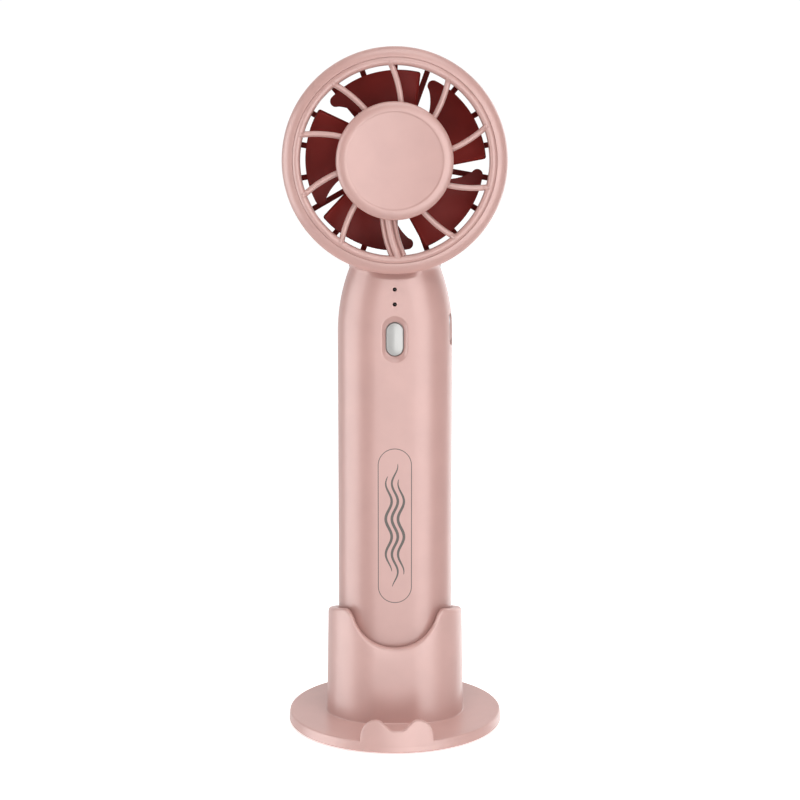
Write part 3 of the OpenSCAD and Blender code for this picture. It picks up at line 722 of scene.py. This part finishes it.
def thin_section(half, r, size):
    top = 16.3 + 0.95 * ease(r, 28.6, 30.2)
    top = SPOKE_BACK + (top - SPOKE_BACK) * (0.35 + 0.65 * size)
    points = [(-half, SPOKE_BACK)]
    for k in range(13):
        turn = pi - pi * k / 12
        rise = sin(turn) ** 0.75
        points.append((half * cos(turn), top - 1.1 + 1.1 * rise))
    return points + [(half, SPOKE_BACK)]


# %% Nine thin spokes
thin = swept_spoke("thin_spoke", FIRST_SPOKE, SPOKE_FROM, THIN_TO, thin_section, 0.9)
spokes = turned_copies(thin, 10, -SPOKE_STEP, FINISH["shell_plastic"], left_out=CHANNEL_INDEX)
print("spokes:", len(spokes.data.polygons), "faces")

# %% [markdown]
# The broad spoke is a channel with two round-topped walls. The cover that closes it is
# a separate slim strip, which stands a little proud and leaves a groove at each side.

# %% Channel spoke and its cover
def channel_section(half, r, size):
    lift = 0.5 * ease(r, 28.6, 30.2)
    crest = [(-half, 15.1), (-half + 0.2, 15.8), (-half + 0.5, 16.15), (-1.95, 16.25),
             (-1.7, 16.15), (-1.45, 15.85), (-1.25, 15.7)]
    wall = [(-half, SPOKE_BACK)] + [(a, w + lift) for a, w in crest] + [(-1.15, 14.4)]
    return wall + [(-a, w) for a, w in reversed(wall)]


def cover_section(half, r, size):
    lift = 0.45 * ease(r, 28.3, 30.0)
    points = [(-half, 15.4)]
    for k in range(13):
        turn = pi - pi * k / 12
        points.append((half * cos(turn), 15.75 + (1.2 + lift) * sin(turn) ** 1.4))
    return points + [(half, 15.4)]


channel = swept_spoke("channel_spoke", CHANNEL_A, SPOKE_FROM, CHANNEL_TO, channel_section, 2.6,
                      round_end=False)
cover = swept_spoke("channel_cover_strip", CHANNEL_A, 17.7, CHANNEL_TO, cover_section, 1.15,
                    round_end=False)
hand_over(cover, "fan", "shell_plastic", "wire_channel_cover")

# %% Rim and motor tray
rim = revolve("grille_rim", rounded([
    (29.4, 12.9, 0.2), (31.68, 12.9, 0.1), (31.68, 16.28, 0.1), (30.95, 16.95, 0.9),
    (29.4, 16.95, 1.0)], steps=7), steps=180)
tray = revolve("motor_tray", rounded([
    (3.2, 12.6, 0.1), (17.6, 12.6, 0.4), (17.6, 17.2, 0.2), (16.3, 17.2, 0.2),
    (16.3, 14.2, 0.3), (3.2, 14.2, 0.1)], steps=3), steps=120)
grille = join("front_grille_moulding", spokes, channel, rim, tray)
hand_over(grille, "fan", "shell_plastic", "front_grille", sharp=40)

# %% [markdown]
# ## Hub cap
# The cap is a disc whose face is dished by less than a millimetre. A low rim stands round
# the dish, and its edge rolls over on a quarter of an ellipse to a short straight side.

# %% Hub cap
DISH_R, DISH_FLOOR_W, DISH_DEPTH = 14.8, 18.5, 0.7
EDGE_R, EDGE_W, EDGE_OUT, EDGE_UP = 15.4, 17.8, 2.8, 1.58
dish = [(r, DISH_FLOOR_W + DISH_DEPTH * (r / DISH_R) ** 2, 0) for r in np.linspace(0, 14.2, 13)]
edge = [(EDGE_R + EDGE_OUT * sin(t), EDGE_W + EDGE_UP * cos(t), 0)
        for t in np.linspace(0.05, pi / 2, 12)]
cap = revolve("hub_cap_disc", rounded([
    *dish, (DISH_R, 19.2, 0.3), (15.2, 19.36, 0.3), *edge, (18.2, 17.2, 0.25),
    (16.1, 17.2, 0.1), (16.1, 15.6, 0.15), (15.0, 15.6, 0.15), (15.0, 17.3, 0.2), (0.0, 17.3, 0)],
    closed=False, steps=7), steps=144)
hand_over(cap, "fan", "shell_plastic", "hub_cap")

# %% [markdown]
# ## Impeller
# Each blade is a bent plate: straight at the trailing edge, round at the tip, and with
# a full lobe and a hollow on the leading edge. A grid runs from root to tip and from
# edge to edge, and every point is set back by the camber, which is a large cylinder
# lying along the blade. Solidify gives the thickness and Bevel the moulded edge. The
# five blades are turned copies.

# %% Blade outline and camber
TIP_R, TIP_CORNER, LOBE_R, LOBE_A = 28.4, 0.7, 1.8, radians(60.6)
CAMBER_R, CAMBER_TURN, CAMBER_MIDDLE, CAMBER_TOP = 65, radians(31), 23.2, 63.5
hollow = np.polyfit([12, 16, 19.7, 23.2, 24.9], [45, 49, 53.5, 59, 62.0], 3)


def leading_angle(r):
    near = TIP_R - LOBE_R
    if r < near - LOBE_R + 0.1:
        return radians(np.polyval(hollow, r))
    return LOBE_A + acos(min(1, (r * r + near ** 2 - LOBE_R ** 2) / (2 * r * near)))


def trailing_angle(r):
    root, tip = Vector((12, -2.6)), Vector((TIP_R, 0))
    along = tip - root
    a, b, c = along.dot(along), 2 * root.dot(along), root.dot(root) - r * r
    t = (-b + sqrt(b * b - 4 * a * c)) / (2 * a)
    spot = root + t * along
    corner = max(0, r - (TIP_R - TIP_CORNER))
    return atan2(spot.y, spot.x) + (TIP_CORNER - sqrt(0.49 - corner ** 2)) / r


def camber(x, z):
    sideways = -x * sin(CAMBER_TURN) + z * cos(CAMBER_TURN)
    return CAMBER_TOP - sqrt(CAMBER_R ** 2 - (sideways - CAMBER_MIDDLE) ** 2)


# %% One blade, then five
def blade_sheet(first):
    radii = [*np.linspace(12.25, 24.6, 14), *np.linspace(25.0, 27.9, 9), 28.1, 28.25, 28.36, TIP_R]
    rows = []
    for r in radii:
        low, high = trailing_angle(r), leading_angle(r)
        row = []
        for k in range(33):
            angle = low + (high - low) * k / 32
            w = camber(r * cos(angle), r * sin(angle))
            row.append(on_head(r, angle + first, w))
        rows.append(row)
    sheet = skin("blade", rows)
    wall = sheet.modifiers.new("thickness", "SOLIDIFY")
    wall.thickness, wall.offset = 1.3 * MM, 0
    moulded = sheet.modifiers.new("moulded edge", "BEVEL")
    moulded.width, moulded.segments = 0.38 * MM, 3
    moulded.limit_method, moulded.angle_limit = "ANGLE", radians(50)
    return bake(sheet)


blades = turned_copies(blade_sheet(radians(2.1)), 5, 72, FINISH["maroon_plastic"])
hub = revolve("impeller_hub", rounded([
    (1.0, -1.2, 0.1), (12.8, -1.2, 0.9), (12.8, 10.8, 0.3), (11.3, 10.8, 0.2),
    (11.3, 0.4, 0.2), (1.0, 0.4, 0.1)], steps=4), steps=96)
impeller = join("impeller_moulding", blades, hub)
hand_over(impeller, "impeller", "maroon_plastic", "impeller", sharp=40)

# %% [markdown]
# ## Rear grille
# Behind the impeller is a second grille with straight struts. A strut is a bar with a
# round-edged section, and the copies tree repeats it eighteen times between a thin
# outer ring and a small middle disc.

# %% Rear grille
STRUT_HALF, STRUT_EDGE, STRUT_A = 0.92, 0.35, radians(10)


def strut():
    section = rounded([(a, w, STRUT_EDGE) for a, w in (
        (-STRUT_HALF, -13.4), (STRUT_HALF, -13.4), (STRUT_HALF, -11.1), (-STRUT_HALF, -11.1))], steps=3)
    across, along = sin(STRUT_A), cos(STRUT_A)
    rows = [[(r * along - a * across, -w, HEAD_Z + r * across + a * along) for a, w in section]
            for r in np.linspace(7.2, 31.8, 9)]
    return skin("strut", rows, around=True, fill=True)


struts = turned_copies(strut(), 18, 20, FINISH["maroon_plastic"])
rear_ring = revolve("rear_ring", rounded([
    (31.3, -13.7, 0.3), (32.4, -13.7, 0.3), (32.4, -10.8, 0.15), (31.3, -10.8, 0.3)],
    steps=3), steps=144)
rear_disc = revolve("rear_disc", rounded([
    (0, -10.8, 0), (8, -10.8, 0.5), (8, -13.7, 0.7), (0, -13.7, 0)], closed=False, steps=4), steps=72)
rear_grille = join("rear_grille_moulding", struts, rear_ring, rear_disc)
hand_over(rear_grille, "fan", "maroon_plastic", "rear_grille", sharp=40)

# %% [markdown]
# ## Controls
# The power button is a capsule with a domed face, a round edge and a hidden flange that
# keeps it in the shell. The two lamps end in tiny smoked domes, set a little below the
# face. The charging port is a drawn metal capsule with a rolled lip.

# %% Button, lamps and port
CROWN_W, CROWN_H, CROWN_EDGE = 2.3, 4.85, 0.3
crown = [(CROWN_W + CROWN_EDGE * cos(t), CROWN_H + CROWN_EDGE * cos(t), 0.56 - 0.28 * sin(t))
         for t in np.linspace(0, pi / 2, 6)]
crown += [(a, a + CROWN_H - CROWN_W, -0.08 + 0.36 * (a / CROWN_W) ** 2)
          for a in (2.0, 1.6, 1.2, 0.8, 0.4, 0.02)]
flange = [(3.8, 6.35, 2.7), (3.8, 6.35, 2.25), (2.6, 5.15, 2.2)]
button = capsule_stack("power_button_cap", flange + crown, into_front(BUTTON_Z))
hand_over(button, "button", "button_plastic", "power_button")

lamp_section = [(0.0, -12.95), (0.2, -12.93), (0.38, -12.85), (0.52, -12.7), (0.6, -12.5),
                (0.6, -7.6), (0.0, -7.6)]
lamps = [revolve("lamp", lamp_section, steps=32,
                 place=lambda r, a, y, z=z: (r * cos(a), y, z + r * sin(a))) for z in LAMP_Z]
hand_over(join("lamp_domes", *lamps), "fan", "lens_plastic", "led_lenses")

port_low, port_high = ([v / MM for v in corner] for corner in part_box("charging_port"))
mid_y, mid_z = (port_low[1] + port_high[1]) / 2, (port_low[2] + port_high[2]) / 2
half_w, half_h = (port_high[1] - port_low[1]) / 2, (port_high[2] - port_low[2]) / 2
inset_and_x = [  # up the inside, over the lip and down the outside
    (0.3, port_low[0] + 1), (0.3, port_high[0] - 0.3), (0.22, port_high[0] - 0.08),
    (0.12, port_high[0]), (0.05, port_high[0] - 0.05), (0, port_high[0] - 0.2), (0, port_low[0])]
port = capsule_stack("charging_port_shell",
                     [(half_w - inset, half_h - inset, x) for inset, x in inset_and_x],
                     lambda a, b, level: (level, mid_y + a, mid_z + b))
hand_over(port, "fan", "steel", "charging_port")

# %% [markdown]
# ## Printed mark
# The handle carries one tall capsule outline in thin grey ink. Inside it, this model
# has a plain breeze motif: three long waves that taper at their ends. Ink has next to
# no thickness, so each line is a thin ribbon just proud of the flat face.

# %% Ink ribbons
INK_Y, INK = -HANDLE_HALF_D - 0.001, 0.015


def ribbon(name, path, widths, closed=False):
    rows = []
    count = len(path)
    for i, (x, z) in enumerate(path):
        before, after = path[i - 1], path[(i + 1) % count]
        if not closed:
            before, after = path[max(i - 1, 0)], path[min(i + 1, count - 1)]
        run = Vector((after[0] - before[0], after[1] - before[1])).normalized()
        side = Vector((-run.y, run.x)) * widths[i] / 2
        rows.append([(x + side.x * share, INK_Y - rise, z + side.y * share)
                     for share, rise in ((1, 0), (0.8, INK), (-0.8, INK), (-1, 0))])
    return skin(name, rows, around=True, along=closed, fill=not closed)


MARK_Z, OUTLINE_W, WAVE_REACH, WAVE_LENGTH, WAVE_STEPS = 67.8, 0.26, 0.95, 11.5, 109
outline = [(a, MARK_Z + b) for a, b in capsule_ring(5.3, 25.0, steps=28)]
path = []
for (x0, z0), (x1, z1) in zip(outline, outline[1:] + outline[:1]):
    parts = max(1, int(hypot(x1 - x0, z1 - z0) / 1.5))
    path += [(x0 + (x1 - x0) * k / parts, z0 + (z1 - z0) * k / parts) for k in range(parts)]
lines = [ribbon("outline", path, [OUTLINE_W] * len(path), closed=True)]
for shift, start, end in ((-1.95, 53, 84), (0.0, 48, 88), (1.95, 52, 83)):
    heights = np.linspace(start, end, WAVE_STEPS + 1)
    wave = [(shift + WAVE_REACH * sin((z - 50) * 2 * pi / WAVE_LENGTH), z) for z in heights]
    widths = [0.08 + 0.82 * sin(pi * k / WAVE_STEPS) ** 0.5 for k in range(WAVE_STEPS + 1)]
    lines.append(ribbon("wave", wave, widths))
mark = join("printed_mark", *lines)
FINISH["ink"] = finish("grey_ink", srgb(92, 84, 80), drift=0.05, gloss=(0.5, 0.6))
mark.data.materials.append(FINISH["ink"])
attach(mark, "fan")

# %% [markdown]
# ## Stand: the plate
# The plate is a flat disc with a crisp but softened top edge and a groove underneath
# for the foot ring. It is revolved about the stand's own axis.

# %% Plate and foot ring
plate = revolve("plate", rounded([
    (0, 0.5, 0), (21.8, 0.5, 0.1), (21.8, 1.0, 0), (32.2, 1.0, 0), (32.2, 0.5, 0.1), (34.6, 0.5, 0.35),
    (35.0, 0.9, 0.3), (34.7, 3.9, 0.6), (0, 3.9, 0)], closed=False, steps=5), steps=200, place=on_stand)
pad = revolve("foot_ring", rounded([
    (22, 0, 0.2), (32, 0, 0.2), (32, 1.0, 0.05), (22, 1.0, 0.05)], steps=3), steps=144, place=on_stand)
hand_over(pad, "stand", "foam_rubber", "foot_pad")

# %% [markdown]
# ## Stand: the cup
# The cup's rim falls gently towards the back and dips in a round scoop at the front.
# A grid follows it: each station stands on one place of the rim, and a chain of points
# runs up the outside, over a rounded edge and down the inside. Because the rounding is
# measured square to the rim, the scoop's edge is as full as the rest.

# %% The rim's height and direction
CUP_TOP, CUP_FLOOR, CUP_FOOT = 37.8, 3.9, 3.2
RIM_SLOPE, EAR_RISE = tan(radians(12.4)), 3.1
OUTER_R, INNER_R = 15.95, 12.95
SCOOP_R, SCOOP_Z, BLEND_R = 14.0, 42.3, 4.4
BLEND_Z = CUP_TOP + EAR_RISE - BLEND_R
BLEND_X = sqrt((SCOOP_R + BLEND_R) ** 2 - (SCOOP_Z - BLEND_Z) ** 2)


def scoop_curve():
    """Right half of the scoop from its lowest point: (x, z, direction out of the rim)."""
    touch = atan2(SCOOP_Z - BLEND_Z, BLEND_X)
    points = []
    for turn in np.linspace(-pi / 2, -touch, 26):
        points.append((SCOOP_R * cos(turn), SCOOP_Z + SCOOP_R * sin(turn), (-cos(turn), -sin(turn))))
    for turn in np.linspace(pi - touch, pi / 2, 12)[1:]:
        points.append((BLEND_X + BLEND_R * cos(turn), BLEND_Z + BLEND_R * sin(turn),
                       (cos(turn), sin(turn))))
    return points


print("scoop reaches x =", round(BLEND_X, 2), "mm")

# %% Places on the outside and the inside wall
CUP_LEAN, CUP_FILLET = 0.55, 0.35


def flare(z):
    """How far the outside stands out at a height: the wall's lean and the fillet at its foot."""
    lean = CUP_LEAN * (CUP_TOP - z) / (CUP_TOP - CUP_FLOOR)
    rise = min(max(z - CUP_FLOOR, 0), CUP_FILLET)
    return max(lean, 0) + CUP_FILLET - sqrt(CUP_FILLET ** 2 - (CUP_FILLET - rise) ** 2)


def wall_point(station, x, z, inside):
    radius = INNER_R if inside else OUTER_R + flare(z)
    if station["front"]:
        reach = max(abs(x) - FLAT_X, 0)
        return Vector((x, -FLAT_Y - sqrt(max(radius ** 2 - reach ** 2, 0)), z))
    cx, cy, turn = station["inside" if inside else "outside"]
    return Vector((cx + radius * cos(turn), cy + radius * sin(turn), z))


def on_arc(cx, cy, turn_out, turn_in):
    return {"front": False, "outside": (cx, cy, turn_out), "inside": (cx, cy, turn_in)}


def cup_stations():
    right = [{"front": True, "x": x, "z": z, "out": out} for x, z, out in scoop_curve()]
    end_x = right[-1]["x"] - FLAT_X
    low_out, low_in = asin(end_x / OUTER_R), asin(end_x / INNER_R)
    for k in range(1, 11):
        turns = [-pi / 2 + low + (pi / 2 - low) * k / 10 for low in (low_out, low_in)]
        right.append(on_arc(FLAT_X, -FLAT_Y, *turns))
    for k in range(0, 17):
        turn = pi / 2 * k / 16
        right.append(on_arc(FLAT_X, FLAT_Y, turn, turn))
    for k in range(1, 4):
        right.append(on_arc(FLAT_X * (1 - k / 3), FLAT_Y, pi / 2, pi / 2))
    left = []
    for station in reversed(right[1:-1]):
        mirrored = dict(station)
        if station["front"]:
            mirrored["x"], mirrored["out"] = -station["x"], (-station["out"][0], station["out"][1])
        else:
            for wall in ("outside", "inside"):
                cx, cy, turn = station[wall]
                mirrored[wall] = (-cx, cy, pi - turn)
        left.append(mirrored)
    return right + left


# %% The cup as a grid
def rim_point(station, across, depth):
    """A point on the rounded rim: across the wall from its outside, and depth below the rim."""
    out = station.get("out", (0, 1))
    x = station.get("x", 0) - out[0] * depth
    scoop_z = station.get("z", BLEND_Z + BLEND_R) - out[1] * depth
    outside = wall_point(station, x, CUP_TOP, False)
    inside = wall_point(station, x, CUP_TOP, True)
    spot = outside.lerp(inside, across / (OUTER_R - INNER_R))
    spot.z = soft_min(scoop_z, CUP_TOP - RIM_SLOPE * spot.y - depth, 0.5)
    return spot


RIM_OUT_R, RIM_IN_R, FILLET_END_Z = 1.1, 0.7, 4.25


def cup():
    thick = OUTER_R - INNER_R
    over_rim = [(0, RIM_OUT_R)]
    over_rim += [(RIM_OUT_R - RIM_OUT_R * cos(t), RIM_OUT_R - RIM_OUT_R * sin(t))
                 for t in np.linspace(0, pi / 2, 8)[1:]]
    over_rim += [(thick - RIM_IN_R + RIM_IN_R * sin(t), RIM_IN_R - RIM_IN_R * cos(t))
                 for t in np.linspace(0, pi / 2, 6)]
    rows = []
    for station in cup_stations():
        rim = [rim_point(station, across, depth) for across, depth in over_rim]
        first, last = rim[0], rim[-1]
        rises = [CUP_FOOT, CUP_FLOOR, 3.94, 4.0, 4.1, FILLET_END_Z]
        rises += [FILLET_END_Z + (first.z - FILLET_END_Z) * k / 12 for k in range(1, 12)]
        falls = [CUP_FOOT + (last.z - CUP_FOOT) * (1 - k / 6) for k in range(1, 7)]
        outside = [wall_point(station, first.x, z, False) for z in rises]
        inside = [wall_point(station, last.x, z, True) for z in falls]
        rows.append(outside + rim + inside)
    return skin("cup", rows, around=True, along=True)


cup_piece = cup()
print("cup:", len(cup_piece.data.polygons), "faces")

# %% [markdown]
# ## Stand: the phone ledge
# A low curved ledge at the front of the plate stops a phone from sliding off, and a
# shallow notch in it leaves room for a plug. Its top follows a curve with round ends and
# a soft dip. Its outer face is upright, and its inner face leans out to a thin crest.

# %% The ledge
LEDGE_HALF, LEDGE_TOP, NOTCH_DEPTH, LEDGE_IN_R, LEDGE_OUT_R = 11.5, 10.7, 3.2, 31.2, 34.85
END_LENGTH, END_FALL, END_PINCH, LEDGE_BASE = 5, 5.2, 0.8, 1.2


def ledge_top(x):
    reach = abs(x)
    top = LEDGE_TOP - NOTCH_DEPTH * (1 - ease(reach, 1.2, 6.2))
    end = LEDGE_HALF - reach
    if end < END_LENGTH:
        top -= END_FALL * (1 - sqrt(max(1 - (1 - max(end, 0) / END_LENGTH) ** 2, 0)))
    return top


def ledge():
    rows = []
    middle, spread = -pi / 2 + radians(1.2), asin(LEDGE_HALF / LEDGE_OUT_R)
    for k in range(161):
        share = sin((-1 + 2 * k / 160) * pi / 2)
        angle = middle + spread * share
        top = ledge_top(LEDGE_HALF * share)
        pinch = min(1, sqrt(max(1 - abs(share), 0) * LEDGE_HALF / END_PINCH) + 0.02)
        near = LEDGE_IN_R + (1 - pinch) * END_PINCH
        crest = max(near + 0.1, LEDGE_IN_R + 1.9)
        section = rounded([
            (near, LEDGE_BASE, 0), (near, min(4.6, top - 1), 0.8), (crest, top, 0.5),
            (LEDGE_OUT_R - 0.3, top, 0.7), (LEDGE_OUT_R, 3.4, 0), (LEDGE_OUT_R, LEDGE_BASE, 0)],
            steps=6)
        rows.append([on_stand(r, angle, z) for r, z in section])
    return skin("ledge", rows, around=True, fill=True)


stand = join("stand_moulding", plate, cup_piece, ledge())
hand_over(stand, "stand", "stand_plastic", "stand", sharp=40)

# %% [markdown]
# ## Inner parts
# The cell, boards, motor and screws keep their CAD shape, because they are simple
# turned, stamped or moulded parts. They get the finish of their own slot.

# %% Finishes for the parts that stay
slots = {spec["node"]: spec["material_slot"] for spec in frame["record"]["subparts"]}
for name, part in frame["nodes"].items():
    slot = slots[name]
    if slot in FINISH:
        for holder in part.material_slots:
            holder.link = "OBJECT"
            holder.material = FINISH[slot]
    else:
        print("no finish for", name, "in slot", slot)
